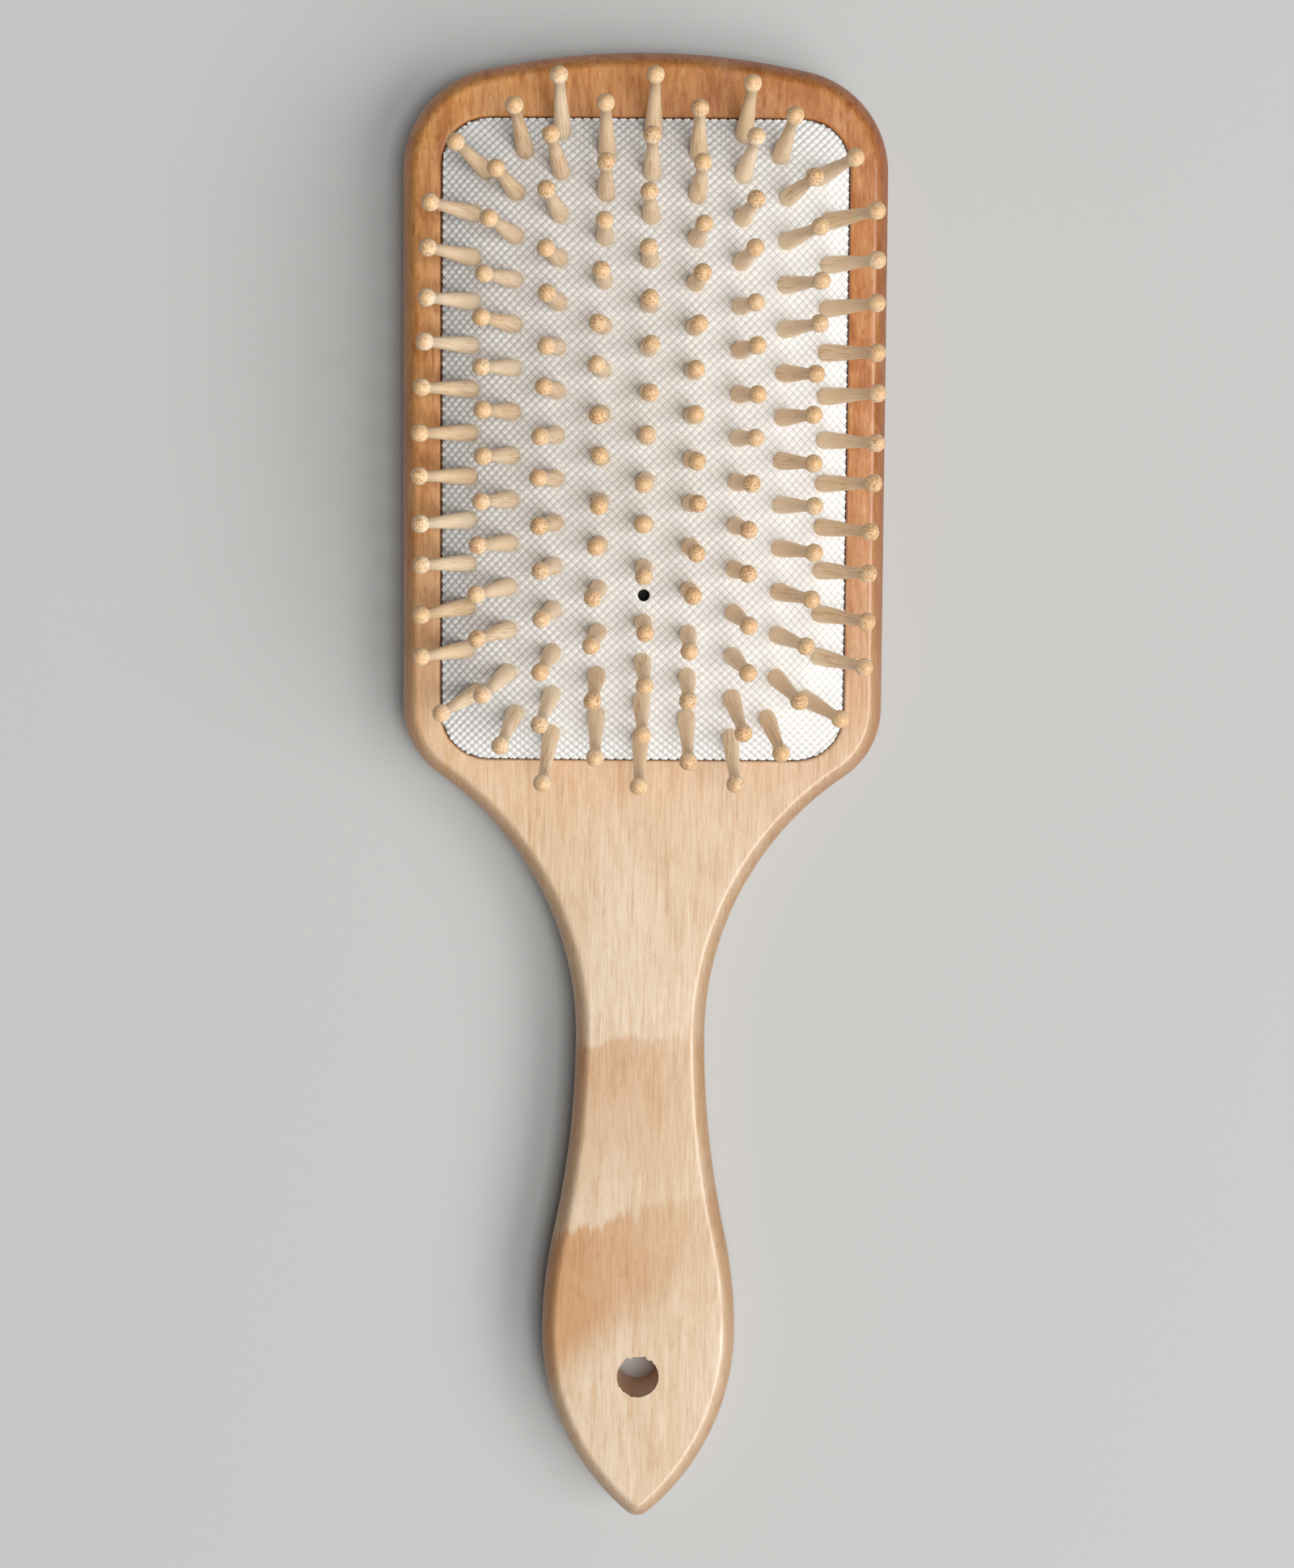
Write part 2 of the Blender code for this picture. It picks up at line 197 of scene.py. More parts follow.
# Each edge is rounded over, and the crease that this leaves at the face is eased with sandpaper.
roundings = (
    (edge_round, edge_steps, edge_fullness),
    (crease_round, crease_steps, crease_fullness),
)
for face_height in (0, board):
    for width, steps, fullness in roundings:
        pick(paddle, "EDGE", all_at_height(face_height))
        bpy.ops.mesh.bevel(offset=width, segments=steps, profile=fullness, affect="EDGES")
bpy.ops.object.mode_set(mode="OBJECT")

# The recess is cut with a block of its shape that flares at the face, which rounds the rim.
rim_start = board - recess_rim_round
bpy.ops.mesh.primitive_cube_add(size=1)
recess_cutter = bpy.context.object
recess_cutter.scale = (2 * recess_half.x, 2 * recess_half.y, rim_start - recess_floor)
recess_cutter.location = recess_middle + Vector((0, 0, (rim_start + recess_floor) / 2))
bpy.ops.object.transform_apply(location=True, rotation=True, scale=True)
pick(recess_cutter, "EDGE", lambda ends: abs(ends[0].z - ends[1].z) > mm)
bpy.ops.mesh.bevel(offset=recess_corner, segments=recess_corner_steps, affect="EDGES")
pick(recess_cutter, "FACE", all_at_height(rim_start))
rim_turn = math.pi / 2 / recess_rim_steps
flare_before = 0
for step in range(1, recess_rim_steps + 1):
    lean = step * rim_turn
    flare = recess_rim_round * (1 - math.cos(lean))
    extrude(recess_rim_round * (math.sin(lean) - math.sin(lean - rim_turn)))
    growth = [(half + flare) / (half + flare_before) for half in recess_half.xy]
    bpy.ops.transform.resize(value=(*growth, 1), center_override=recess_middle)
    flare_before = flare
extrude(board)
bpy.ops.object.mode_set(mode="OBJECT")
cut(paddle, recess_cutter)

# The drill tore the wood at the ends of the fibres, so the rim of the hanging hole is ragged there:
# along the side toward the head, and less on the left toward the tail.
tear_depth = 0.5 * mm
tear_least = -0.11
tear_most = 0.14
head_side_start = 0.35
tail_side = (-0.5, -0.8)
tail_side_start = 0.6
overshoot = 1 * mm
bpy.ops.mesh.primitive_circle_add(
    vertices=hole_sides, radius=hole_radius, fill_type="NGON", location=hole_middle
)
hole_cutter = bpy.context.object
bpy.ops.object.transform_apply(location=True)
bpy.ops.object.mode_set(mode="EDIT")
bpy.ops.transform.translate(value=(0, 0, -2 * tear_depth))
for rise in (board, tear_depth, tear_depth, overshoot):
    extrude(rise)
bpy.ops.object.mode_set(mode="OBJECT")
tear = random.Random(4)
for vertex in hole_cutter.data.vertices:
    if vertex.co.z > board - tear_depth / 2:
        across, along = ((vertex.co - hole_middle) / hole_radius).xy
        torn = max(0, along - head_side_start)
        torn += max(0, tail_side[0] * across + tail_side[1] * along - tail_side_start)
        reach = 1 + torn * tear.uniform(tear_least, tear_most)
        vertex.co.x = hole_middle.x + reach * hole_radius * across
        vertex.co.y = hole_middle.y + reach * hole_radius * along
bpy.ops.object.mode_set(mode="EDIT")
bpy.ops.mesh.select_all(action="SELECT")
bpy.ops.mesh.normals_make_consistent(inside=False)
bpy.ops.object.mode_set(mode="OBJECT")
cut(paddle, hole_cutter)
bpy.ops.object.shade_smooth_by_angle(angle=board_facets)


def tone(red, green, blue):
    """A colour as the screen shows it, each part from 0 to 255, in the linear light of a shader."""
    parts = [part / 255 for part in (red, green, blue)]
    return *(part / 12.92 if part < 0.04 else ((part + 0.055) / 1.055) ** 2.4 for part in parts), 1


def new_material(name):
    """A material with its node tree and its surface shader."""
    material = bpy.data.materials.new(name)
    material.use_nodes = True
    return material, material.node_tree, material.node_tree.nodes["Principled BSDF"]


def join(tree, value, socket):
    """Links a node's output to a socket, or sets the socket to a plain value."""
    if isinstance(value, bpy.types.NodeSocket):
        tree.links.new(value, socket)
    else:
        socket.default_value = value


def add_node(tree, kind, settings, **inputs):
    """Adds a node with its settings, joins its inputs, named with _ for a space, and gives the node."""
    made = tree.nodes.new(kind)
    for name, value in settings.items():
        setattr(made, name, value)
    for name, value in inputs.items():
        join(tree, value, made.inputs[name.replace("_", " ")])
    return made


def build_grain():
    """The node group for streaks and blotches of a set size along each axis, in wood, bamboo and rubber."""
    group = bpy.data.node_groups.new("grain", "ShaderNodeTree")
    vectors = ("Place", "Fineness")
    values = ("Detail", "Distortion", "Roughness")
    for name in vectors:
        group.interface.new_socket(name, in_out="INPUT", socket_type="NodeSocketVector")
    for name in values:
        group.interface.new_socket(name, in_out="INPUT", socket_type="NodeSocketFloat")
    group.interface.new_socket("Strength", in_out="OUTPUT", socket_type="NodeSocketFloat")
    given = group.nodes.new("NodeGroupInput").outputs
    scaled = add_node(group, "ShaderNodeMapping", {}, Vector=given["Place"], Scale=given["Fineness"])
    made = add_node(group, "ShaderNodeTexNoise", {}, Vector=scaled.outputs[0], Scale=1)
    for name in values:
        join(group, given[name], made.inputs[name])
    join(group, made.outputs[0], group.nodes.new("NodeGroupOutput").inputs["Strength"])
    return group


grain = build_grain()


def noise(tree, place, size, detail=2, distortion=0, roughness=0.5):
    """Grain whose streaks or blotches are of the given size in millimetres along each axis."""
    made = add_node(
        tree,
        "ShaderNodeGroup",
        {"node_tree": grain},
        Place=place,
        Fineness=[1 / (part * mm) for part in size],
        Detail=detail,
        Distortion=distortion,
        Roughness=roughness,
    )
    return made.outputs["Strength"]


def mix(tree, factor, first, second, blend="MIX"):
    """Blends two colours and gives the outcome."""
    made = tree.nodes.new("ShaderNodeMix")
    made.data_type = "RGBA"
    made.blend_type = blend
    join(tree, factor, made.inputs[0])
    join(tree, first, made.inputs[6])
    join(tree, second, made.inputs[7])
    return made.outputs[2]


def stain_and_shade(tree, factor, colour, tint):
    """Darkens a colour by a tint, for a stain and for painted shade alike, and gives the outcome."""
    return mix(tree, factor, colour, tint, "MULTIPLY")


def spread(tree, value, low, high, to_low=0, to_high=1):
    """Maps low to high of a value onto another range, smoothly at both ends, and gives the outcome."""
    made = add_node(
        tree,
        "ShaderNodeMapRange",
        {"interpolation_type": "SMOOTHSTEP"},
        Value=value,
        From_Min=low,
        From_Max=high,
        To_Min=to_low,
        To_Max=to_high,
    )
    return made.outputs[0]


def times(tree, first, second):
    made = add_node(tree, "ShaderNodeMath", {"operation": "MULTIPLY"})
    join(tree, first, made.inputs[0])
    join(tree, second, made.inputs[1])
    return made.outputs[0]


def combine(tree, operation, first, second):
    """The outcome of a vector operation, as a value where the operation gives one."""
    made = add_node(tree, "ShaderNodeVectorMath", {"operation": operation})
    join(tree, first, made.inputs[0])
    join(tree, second, made.inputs[1])
    return made.outputs["Value" if operation in ("DOT_PRODUCT", "DISTANCE") else "Vector"]


def part_of(tree, vector, axis):
    return add_node(tree, "ShaderNodeSeparateXYZ", {}, Vector=vector).outputs[axis]


def shifted(tree, place, **by):
    """A place moved by a value along each axis that is named."""
    return combine(tree, "ADD", place, add_node(tree, "ShaderNodeCombineXYZ", {}, **by).outputs[0])


pale_wood = tone(219, 198, 173)
tan_wood = tone(212, 187, 157)
# Painted shade for the two bands where the grip's fibres dip.
dark_vein = tone(198, 160, 120)
light_vein = tone(232, 212, 188)
painted_dip_shade = tone(192, 142, 92)
# Painted light on the left of the head and painted shade on the right, over the wood's redder tone.
red_wood_left_painted_light = tone(227, 164, 94)
red_wood_right_painted_shade = tone(182, 118, 55)
vein_stain = tone(216, 182, 142)
mottle_stain = tone(218, 186, 146)
mottle_light = tone(241, 212, 176)
fibre_stain = tone(226, 200, 170)
fleck_stain = tone(196, 164, 132)
# Darker colour of the rounded edges: partly the wood's own, partly painted shade.
edge_stain_and_shade = tone(206, 188, 168)
# Painted light on the wall of the hanging hole.
hole_wall_painted_light = tone(216, 164, 94)
wood, tree, shader = new_material("varnished_maple")
in_board = add_node(tree, "ShaderNodeTexCoord", {}).outputs["Object"]
across_board = part_of(tree, in_board, "X")
fibre = noise(tree, in_board, (0.3, 7, 0.3), detail=4, roughness=0.65)
drift = noise(tree, in_board, (12, 60, 12), distortion=0.5)
colour = mix(tree, spread(tree, drift, 0.35, 0.65), pale_wood, tan_wood)
vein = noise(tree, in_board, (1.3, 15, 1.3), detail=5, distortion=1, roughness=0.66)
colour = mix(tree, spread(tree, vein, 0.5, 0.68, 0, 0.5), colour, dark_vein)
colour = mix(tree, spread(tree, vein, 0.46, 0.3, 0, 0.5), colour, light_vein)
# Painted shade: where the fibres dip, the light falls on them another way, painted as two bands across
# the grip, each with a ragged top edge and a foot that fades out, and both fainter toward the right.
band_edge = 1 * mm
band_right = 14 * mm
band_left = -12 * mm
ragged = times(tree, noise(tree, in_board, (0.8, 30, 0.8), detail=3, roughness=0.6), 6 * mm)
wavy = times(tree, noise(tree, in_board, (8, 8, 8), detail=1), 7 * mm)
strayed = shifted(tree, shifted(tree, in_board, X=wavy, Y=wavy), Y=ragged)
for top, top_slope, foot, foot_slope, foot_fade, depth in (
    (-35 * mm, 0.05, -54 * mm, 0, 14 * mm, 0.6),
    (-66 * mm, 0.29, -84 * mm, 0.8, 6 * mm, 0.8),
):
    along_top = combine(tree, "DOT_PRODUCT", strayed, (-top_slope, 1, 0))
    along_foot = combine(tree, "DOT_PRODUCT", strayed, (-foot_slope, 1, 0))
    under_top = spread(tree, along_top, top + band_edge, top - band_edge)
    over_foot = spread(tree, along_foot, foot - foot_fade, foot + foot_fade)
    toward_left = spread(tree, across_board, band_right, band_left, 0.3 * depth, depth)
    dip_shade_mask = times(tree, times(tree, under_top, over_foot), toward_left)
    colour = mix(tree, dip_shade_mask, colour, painted_dip_shade)
# Toward the head the board is redder, most so on the right, and its figure coarser: partly its own colour,
# partly painted light and shade. The paler handle stands for sheen, and the head is painted lighter on the
# left and darker on the right to offset how the light falls there.
toward_head = part_of(tree, strayed, "Y")
redder_with_painted_light = mix(tree, spread(tree, across_board, -45 * mm, 30 * mm), red_wood_left_painted_light, red_wood_right_painted_shade)
colour = mix(tree, spread(tree, toward_head, -20 * mm, 75 * mm, 0, 0.95), colour, redder_with_painted_light)
in_head = spread(tree, toward_head, 10 * mm, 90 * mm, 0, 0.6)
colour = stain_and_shade(tree, times(tree, spread(tree, vein, 0.46, 0.66), in_head), colour, vein_stain)
coarse = spread(tree, toward_head, 0, 80 * mm, 0.3, 1)
mottle = noise(tree, in_board, (2.6, 7, 2.6), detail=6, distortion=0.7, roughness=0.7)
darker = times(tree, spread(tree, mottle, 0.46, 0.7, 0, 0.7), coarse)
colour = stain_and_shade(tree, darker, colour, mottle_stain)
paler = times(tree, spread(tree, mottle, 0.5, 0.3, 0, 0.2), coarse)
colour = mix(tree, paler, colour, mottle_light)
colour = stain_and_shade(tree, spread(tree, fibre, 0.4, 0.7, 0, 0.45), colour, fibre_stain)
fleck = noise(tree, in_board, (0.4, 1.5, 0.4), detail=3, distortion=0.6)
flecked = times(tree, spread(tree, fleck, 0.48, 0.72, 0, 0.4), coarse)
colour = stain_and_shade(tree, flecked, colour, fleck_stain)
# Round the edges the colour is darker, partly the wood's own darker cut edge and partly painted shade,
# and the varnish there is glossier.
normal = add_node(tree, "ShaderNodeNewGeometry", {}).outputs["Normal"]
flatness = add_node(tree, "ShaderNodeMath", {"operation": "ABSOLUTE"})
join(tree, part_of(tree, normal, "Z"), flatness.inputs[0])
colour = stain_and_shade(tree, spread(tree, flatness.outputs[0], 0.98, 0.6), colour, edge_stain_and_shade)
# The wall of the hanging hole is bare wood, coloured a brighter orange-brown below the torn rim as painted
# light on a wall that stands in shade.
wall_skin = 0.03 * mm
wall_light_start = board - 0.3 * mm
wall_light_full = board - 1.5 * mm
from_hole = combine(tree, "DISTANCE", combine(tree, "MULTIPLY", in_board, (1, 1, 0)), hole_middle)
on_wall = spread(tree, from_hole, hole_radius + wall_skin, hole_radius)
below_rim = spread(tree, part_of(tree, in_board, "Z"), wall_light_start, wall_light_full)
colour = mix(tree, times(tree, on_wall, below_rim), colour, hole_wall_painted_light)
join(tree, colour, shader.inputs["Base Color"])
join(tree, spread(tree, fibre, 0.3, 0.7, 0.4, 0.5), shader.inputs["Roughness"])
shader.inputs["Specular IOR Level"].default_value = 0.3
join(tree, spread(tree, flatness.outputs[0], 1, 0.93), shader.inputs["Coat Weight"])
shader.inputs["Coat Roughness"].default_value = 0.22
raised = add_node(tree, "ShaderNodeBump", {}, Strength=0.15, Distance=0.05 * mm, Height=fibre)
join(tree, raised.outputs[0], shader.inputs["Normal"])
paddle.data.materials.append(wood)
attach(paddle, "paddle")
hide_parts("paddle")

# Pins. Bamboo turned to a tapering shaft with a ball at the tip, sanded and left bare, so that the ends
# of the fibre bundles show as dark specks on the balls and as faint streaks on the shafts. Each is
# pushed through a hole in the cushion from below and held by its foot.
rim_drop = 0.5 * mm
crown = 6.6 * mm
crown_power = Vector((3.2, 5, 0))
column_pitch = 7.55 * mm
row_pitch = 7.25 * mm
column_pins = (13, 14, 15, 14, 15, 14, 15, 14, 13)
field_turn = Matrix.Rotation(math.radians(-0.8), 3, "Z")
field_shift = Vector((0.5 * mm, 0.9 * mm, 0))
vent_room = 1.9 * mm
vent_row = -4
corner_draw = {3: 1.3 * mm, 4: 2 * mm}
slope_ease = 1.1
pin_sway = math.tan(math.radians(1.4))
pin_stride = 0.05 * mm
pin_length = 17.7 * mm
pin_root = 2.2 * mm
pin_radius = 1.5 * mm
pin_neck = 0.9 * mm
pin_sides = 16
shaft_rings = (0.12, 0.4, 0.7, 1)
taper_haste = 1.05
ball_radius = 1.52 * mm
ball_turns = (-40, -12, 14, 40, 66)
ball_seat = 0.82 * ball_radius
ball_flat = 0.25 * mm


def dome_height(x, y):
    """The cushion's face, above the back of the paddle."""
    across = 1 - min(1, abs(x) / recess_half.x) ** crown_power.x
    along = 1 - min(1, abs(y - recess_middle.y) / recess_half.y) ** crown_power.y
    return board - rim_drop + (crown + rim_drop) * across * along


def dome_slope(x, y):
    reach = 0.1 * mm
    slope_x = (dome_height(x + reach, y) - dome_height(x - reach, y)) / (2 * reach)
    slope_y = (dome_height(x, y + reach) - dome_height(x, y - reach)) / (2 * reach)
    return Vector((slope_x, slope_y, 0))


def across_section(x):
    return dome_height(x, recess_middle.y)


def along_section(y):
    return dome_height(0, recess_middle.y + y)


def walk_out(section, stride, far):
    """A rule for how far out in plan one comes by walking a distance over the dome from its middle."""
    places = [0]
    while len(places) * stride < far:
        out = places[-1]
        rise = section(out + stride) - section(out)
        places.append(out + stride * stride / math.hypot(stride, rise))

    def place_at(distance):
        step = min(round(abs(distance) / stride), len(places) - 1)
        return math.copysign(places[step], distance)

    return place_at


pin_across = walk_out(across_section, pin_stride, recess_half.x + crown)
pin_along = walk_out(along_section, pin_stride, recess_half.y + crown)


def pin_place(column, row, last_row):
    """Where a pin stands on the dome, as its matrix with the axis along z."""
    across = pin_across(column * column_pitch)
    along = pin_along(row * row_pitch)
    if abs(row) == last_row:
        across -= math.copysign(corner_draw.get(abs(column), 0), column)
    if column == 0 and row <= vent_row:
        along -= vent_room * (last_row + row) / (last_row + vent_row)
    root = recess_middle + field_shift + field_turn @ Vector((across, along, 0))
    root.z = dome_height(root.x, root.y)
    slope = dome_slope(root.x, root.y)
    slope /= math.hypot(1, slope.length / slope_ease)
    # Each pin sways by its own amount, the same at every run.
    sway = Vector((math.sin(12.9 * column + 7.3 * row), math.sin(4.1 * column - 9.7 * row + 1), 0))
    axis = Vector((0, 0, 1)) - slope + pin_sway * sway
    return Matrix.Translation(root) @ axis.to_track_quat("Z", "Y").to_matrix().to_4x4()


bpy.ops.object.select_all(action="DESELECT")
bpy.ops.mesh.primitive_circle_add(vertices=pin_sides, radius=pin_radius, fill_type="NGON")
pattern = bpy.context.object
bpy.ops.object.mode_set(mode="EDIT")
bpy.ops.transform.translate(value=(0, 0, -pin_root))
profile = [(-pin_root, pin_radius)]
for share in shaft_rings:
    taper = 0.5 - 0.5 * math.cos(math.pi * min(1, share * taper_haste))
    profile.append((share * (pin_length - ball_seat), pin_radius + (pin_neck - pin_radius) * taper))
for turn in ball_turns:
    rise = math.sin(math.radians(turn)) * ball_radius
    profile.append((pin_length + rise, math.cos(math.radians(turn)) * ball_radius))
profile.append((pin_length + ball_radius, ball_flat))
for below, above in zip(profile, profile[1:]):
    extrude(above[0] - below[0])
    ratio = above[1] / below[1]
    bpy.ops.transform.resize(value=(ratio, ratio, 1), center_override=(0, 0, above[0]))
bpy.ops.mesh.select_all(action="SELECT")
bpy.ops.mesh.normals_make_consistent(inside=False)
bpy.ops.object.mode_set(mode="OBJECT")
bpy.ops.object.shade_smooth()


def own_value(tree, name):
    """The outputs for what a mesh keeps under a name for each of its points."""
    settings = {"attribute_type": "GEOMETRY", "attribute_name": name}
    return add_node(tree, "ShaderNodeAttribute", settings).outputs


pale_bamboo = tone(246, 228, 200)
dark_bamboo = tone(236, 209, 174)
ball_bamboo = tone(240, 212, 174)
end_bamboo = tone(222, 178, 126)
streak_bamboo = tone(206, 164, 104)
dapple_bamboo = tone(200, 150, 96)
speck_bamboo = tone(142, 88, 44)
bundle_pitch = 0.38 * mm
bundle_stir = 0.4 * mm
# Each pin keeps its own place in the bamboo and three numbers from 0 to 1: how dark, how streaked and
# how specked it is.
bamboo, tree, shader = new_material("bamboo")
in_bamboo = own_value(tree, "fibre_place")["Vector"]
nature = own_value(tree, "pin_nature")["Vector"]
darkness = part_of(tree, nature, "X")
streakiness = part_of(tree, nature, "Y")
speckiness = part_of(tree, nature, "Z")
up_the_pin = part_of(tree, in_bamboo, "Z")
on_the_ball = spread(tree, up_the_pin, pin_length - 2 * ball_radius, pin_length)
colour = mix(tree, darkness, pale_bamboo, dark_bamboo)
colour = mix(tree, times(tree, on_the_ball, darkness), colour, ball_bamboo)
ball_top = pin_length + ball_radius
end_grain = spread(tree, up_the_pin, pin_length + 0.2 * ball_radius, ball_top, 0, 0.7)
colour = mix(tree, end_grain, colour, end_bamboo)
streak = noise(tree, in_bamboo, (0.24, 0.24, 14), detail=3, roughness=0.6)
streaked = times(tree, spread(tree, streak, 0.46, 0.68), spread(tree, streakiness, 0, 1, 0.2, 0.9))
colour = mix(tree, streaked, colour, streak_bamboo)
toward_tip = spread(tree, up_the_pin, pin_length - 0.5 * ball_radius, ball_top)
dapple = noise(tree, in_bamboo, (0.25, 0.25, 1.5), detail=2)
dappled = times(tree, spread(tree, dapple, 0.46, 0.64, 0, 0.6), toward_tip)
colour = mix(tree, dappled, colour, dapple_bamboo)
stir = times(tree, noise(tree, in_bamboo, (0.3, 0.3, 2), detail=1), bundle_stir)
stirred = shifted(tree, in_bamboo, X=stir, Y=stir)
bundles = add_node(tree, "ShaderNodeTexVoronoi", {"voronoi_dimensions": "2D"}, Vector=stirred)
bundles.inputs["Scale"].default_value = 1 / bundle_pitch
crowding = noise(tree, in_bamboo, (0.7, 0.7, 3), detail=1)
speck_size = spread(tree, crowding, 0.36, 0.62, 0.2, 0.56)
speck = spread(tree, bundles.outputs["Distance"], speck_size, 0.04)
specked = times(tree, toward_tip, spread(tree, times(tree, speckiness, speckiness), 0, 1, 0.4, 1))
colour = mix(tree, times(tree, speck, specked), colour, speck_bamboo)
join(tree, colour, shader.inputs["Base Color"])
shader.inputs["Roughness"].default_value = 0.45
pattern.data.materials.append(bamboo)
pattern.data.attributes.new("fibre_place", "FLOAT_VECTOR", "POINT")
pattern.data.attributes.new("pin_nature", "FLOAT_VECTOR", "POINT")

far_apart = 50 * mm
vary = random.Random(11)
slices = ("top", "middle", "bottom")
pin_places = []
pin_groups = {}
for number, count in enumerate(column_pins, 1):
    column = number - (len(column_pins) + 1) // 2
    last_row = (count - 1) / 2
    end = round(count / 3)
    for step in range(count):
        place = pin_place(column, last_row - step, last_row)
        pin_places.append(place)
        bpy.ops.object.select_all(action="DESELECT")
        pattern.select_set(True)
        bpy.context.view_layer.objects.active = pattern
        bpy.ops.object.duplicate()
        pin = bpy.context.object
        shift = Vector((vary.uniform(-far_apart, far_apart), vary.uniform(-far_apart, far_apart), 0))
        traits = [vary.random() for _ in range(3)]
        for vertex in pin.data.vertices:
            pin.data.attributes["fibre_place"].data[vertex.index].vector = vertex.co + shift
            pin.data.attributes["pin_nature"].data[vertex.index].vector = traits
        pin.data.transform(place @ Matrix.Rotation(vary.uniform(0, math.tau), 4, "Z"))
        part = slices[0] if step < end else slices[2] if step >= count - end else slices[1]
        pin_groups.setdefault(f"pins_column_{number}_{part}", []).append(pin)
for node, pins in pin_groups.items():
    bpy.ops.object.select_all(action="DESELECT")
    for pin in pins:
        pin.select_set(True)
    bpy.context.view_layer.objects.active = pins[0]
    bpy.ops.object.join()
    pins[0].name = node.replace("pins", "bamboo")
    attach(pins[0], node)
    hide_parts(node)
bpy.ops.object.select_all(action="DESELECT")
pattern.select_set(True)
bpy.ops.object.delete()

# Cushion. One pad of off-white moulded rubber over an air space, domed, with a fine diamond knurl over
# its face. Its edge turns down into the recess, where a bead holds it, and air leaves by a small vent
# hole between the pins.
knurl = 1.07 * mm
knurl_peak = 0.44 * mm
knurl_side = 0.38 * mm
knurl_stride = 0.1 * mm
knurl_facets = math.radians(80)
rim_gap = 0.15 * mm
skirt = 3.2 * mm
skirt_foot = recess_floor + 1 * mm
sheet_spare = 2 * mm
vent_radius = 1 * mm
vent_sides = 32
vent_depth = 8 * mm
vent_ring = 1.2 * mm
pin_dimple = 0.3 * mm
pin_dimple_reach = 2.1 * mm
pin_dimple_power = 4
pin_ring = 1.75 * mm
cushion_half = recess_half - Vector((rim_gap, rim_gap, 0))
cushion_corner = recess_corner - rim_gap
middle_column = len(column_pins) // 2
pin_below_vent = sum(column_pins[:middle_column]) + (column_pins[middle_column] - 1) // 2 - vent_row
vent = (pin_places[pin_below_vent - 1].translation + pin_places[pin_below_vent].translation) / 2


def beyond_rim(x, y):
    """How far a place in plan is outside the cushion's edge, and the way out from the edge there."""
    core = cushion_half - Vector((cushion_corner, cushion_corner, 0))
    dx = abs(x) - core.x
    dy = abs(y) - core.y
    if dx > 0 and dy > 0:
        out = Vector((math.copysign(dx, x), math.copysign(dy, y), 0))
        return out.length - cushion_corner, out.normalized()
    if dx > dy:
        return dx - cushion_corner, Vector((math.copysign(1, x), 0, 0))
    return dy - cushion_corner, Vector((0, math.copysign(1, y), 0))


sheet_half = recess_half + Vector((skirt, skirt, 0)) + Vector((sheet_spare, sheet_spare, 0))
cells = math.ceil((sheet_half.x + sheet_half.y) * math.sqrt(2) / knurl)
knurl_across = walk_out(across_section, knurl_stride, 2 * sheet_half.x)
knurl_along = walk_out(along_section, knurl_stride, 2 * sheet_half.y)
bpy.ops.mesh.primitive_grid_add(
    x_subdivisions=cells, y_subdivisions=cells, size=cells * knurl, rotation=(0, 0, math.pi / 4)
)
cushion = bpy.context.object
cushion.name = "rubber_cushion"
bpy.ops.object.transform_apply(rotation=True)
pick(
    cushion,
    "VERT",
    lambda points: beyond_rim(knurl_across(points[0].x), knurl_along(points[0].y))[0] > skirt,
)
bpy.ops.mesh.delete(type="VERT")
bpy.ops.mesh.select_all(action="SELECT")
bpy.ops.mesh.inset(use_individual=True, thickness=knurl_side, depth=knurl_peak)
bpy.ops.object.mode_set(mode="OBJECT")
# The knurled sheet is laid over the dome and down into the recess, smooth on the skirt and round the
# vent and the pins, and drawn in a little at each pin.
studs = cushion.data.attributes.new("stud", "FLOAT", "POINT").data
for vertex in cushion.data.vertices:
    studs[vertex.index].value = vertex.co.z / knurl_peak
    x = knurl_across(vertex.co.x)
    y = knurl_along(vertex.co.y)
    outside, way_out = beyond_rim(x, y)
    drop = max(0, outside)
    x -= drop * way_out.x
    y += recess_middle.y - drop * way_out.y
    on_face = Vector((x, y, dome_height(x, y) - drop))
    out = way_out if outside > 0 else (Vector((0, 0, 1)) - dome_slope(x, y)).normalized()
    nearest = min((on_face - place.translation).length for place in pin_places)
    smooth = outside > 0 or nearest < pin_ring or (on_face - vent).xy.length < vent_ring
    vertex.co = on_face + (0 if smooth else vertex.co.z) * out
    if nearest < pin_dimple_reach:
        vertex.co -= pin_dimple * (1 - (nearest / pin_dimple_reach) ** pin_dimple_power) * out
# The open edge, found from an empty selection, is drawn down to a level foot and closed.
pick(cushion, "EDGE", lambda ends: False)
bpy.ops.mesh.select_non_manifold()
bpy.ops.mesh.extrude_edges_move(TRANSFORM_OT_translate={"value": (0, 0, -mm)})
bpy.ops.transform.resize(value=(1, 1, 0), center_override=(0, 0, skirt_foot))
bpy.ops.mesh.edge_face_add()
bpy.ops.mesh.select_all(action="SELECT")
bpy.ops.mesh.normals_make_consistent(inside=False)
bpy.ops.object.mode_set(mode="OBJECT")
bpy.ops.object.shade_smooth_by_angle(angle=knurl_facets)

white_rubber = tone(238, 238, 236)
grey_rubber = tone(230, 229, 226)
# Painted shade for the grooves of the knurl.
groove_painted_shade = tone(150, 142, 134)
rubber, tree, shader = new_material("rubber")
in_rubber = add_node(tree, "ShaderNodeTexCoord", {}).outputs["Object"]
colour = mix(tree, noise(tree, in_rubber, (9, 9, 9), detail=4), white_rubber, grey_rubber)
# Painted shade: the grooves between the studs are darkened, most at their foot.
groove_shade_mask = spread(tree, own_value(tree, "stud")["Fac"], 0.4, 0, 0, 0.5)
colour = mix(tree, groove_shade_mask, colour, groove_painted_shade)
join(tree, colour, shader.inputs["Base Color"])
shader.inputs["Roughness"].default_value = 0.48
cushion.data.materials.append(rubber)
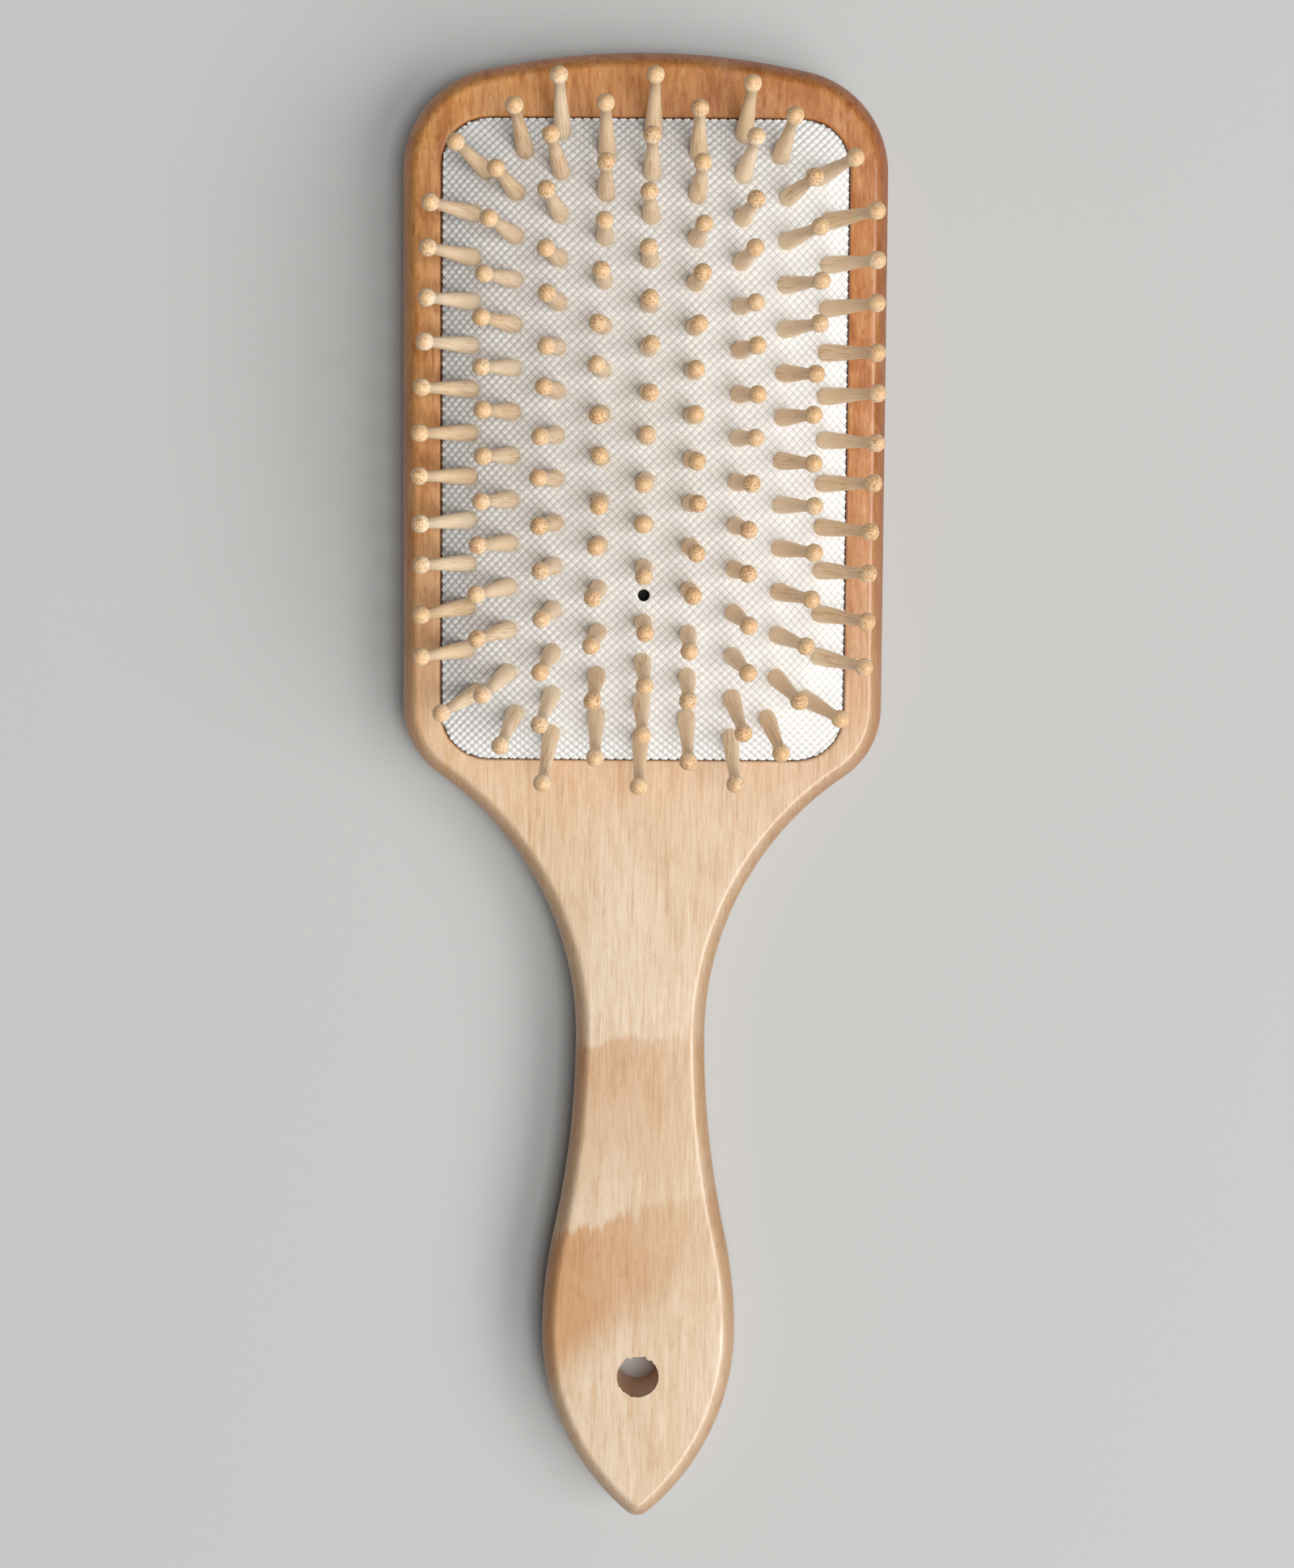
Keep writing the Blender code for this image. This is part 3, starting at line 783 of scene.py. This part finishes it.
# Painted shade: the wall of the vent hole is near black, standing for the shade deep inside it.
vent_shade_paint, _, shader = new_material("painted_vent_shade")
shader.inputs["Base Color"].default_value = tone(30, 28, 27)
shader.inputs["Roughness"].default_value = 0.8

bpy.ops.mesh.primitive_cylinder_add(
    vertices=vent_sides, radius=vent_radius, depth=vent_depth, location=vent
)
vent_cutter = bpy.context.object
bpy.ops.object.transform_apply(location=True)
vent_cutter.data.materials.append(vent_shade_paint)
cushion.data.materials.append(vent_shade_paint)
cut(cushion, vent_cutter)
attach(cushion, "paddle")
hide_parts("cushion")
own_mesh(cushion)

# Floor, light and camera. The brush lies on its back on a pale floor. A large soft light stands to the
# right of the handle and a smaller one hangs over the brush, with a little white light all round. The
# camera looks down from over the head.
floor_size = 8
floor_grey = (0.5, 0.5, 0.49, 1)
surround_light = 0.1
camera_place = (0.5 * mm, 60.7 * mm, board + 580 * mm)
camera_tilt = math.radians(-5.695)
camera_turn = math.radians(0.39)
camera_film = 36
camera_lens = 79.02
bpy.ops.mesh.primitive_plane_add(size=floor_size)
floor = bpy.context.object
floor.name = "floor"
paper, _, shader = new_material("paper")
shader.inputs["Base Color"].default_value = floor_grey
shader.inputs["Roughness"].default_value = 0.9
floor.data.materials.append(paper)


def add_lamp(place, width, height, power):
    """A soft light with an upright oblong face, turned to the brush."""
    aim = (-Vector(place)).to_track_quat("-Z", "Y").to_euler()
    bpy.ops.object.light_add(type="AREA", location=place, rotation=aim)
    lamp = bpy.context.object.data
    lamp.shape = "RECTANGLE"
    lamp.size = width
    lamp.size_y = height
    lamp.energy = power


add_lamp(place=(2, -1, 2.2), width=3.6, height=1.7, power=95)
add_lamp(place=(0.5, -0.15, 3), width=1.1, height=1.1, power=49)
surround = bpy.data.worlds.new("surround")
surround.use_nodes = True
surround.node_tree.nodes["Background"].inputs["Color"].default_value = (1, 1, 1, 1)
surround.node_tree.nodes["Background"].inputs["Strength"].default_value = surround_light
bpy.context.scene.world = surround

bpy.ops.object.camera_add(location=camera_place, rotation=(camera_tilt, 0, camera_turn))
camera = bpy.context.object
camera.data.sensor_fit = "VERTICAL"
camera.data.sensor_height = camera_film
camera.data.lens = camera_lens
bpy.context.scene.camera = camera
bpy.context.scene.view_settings.view_transform = "Standard"
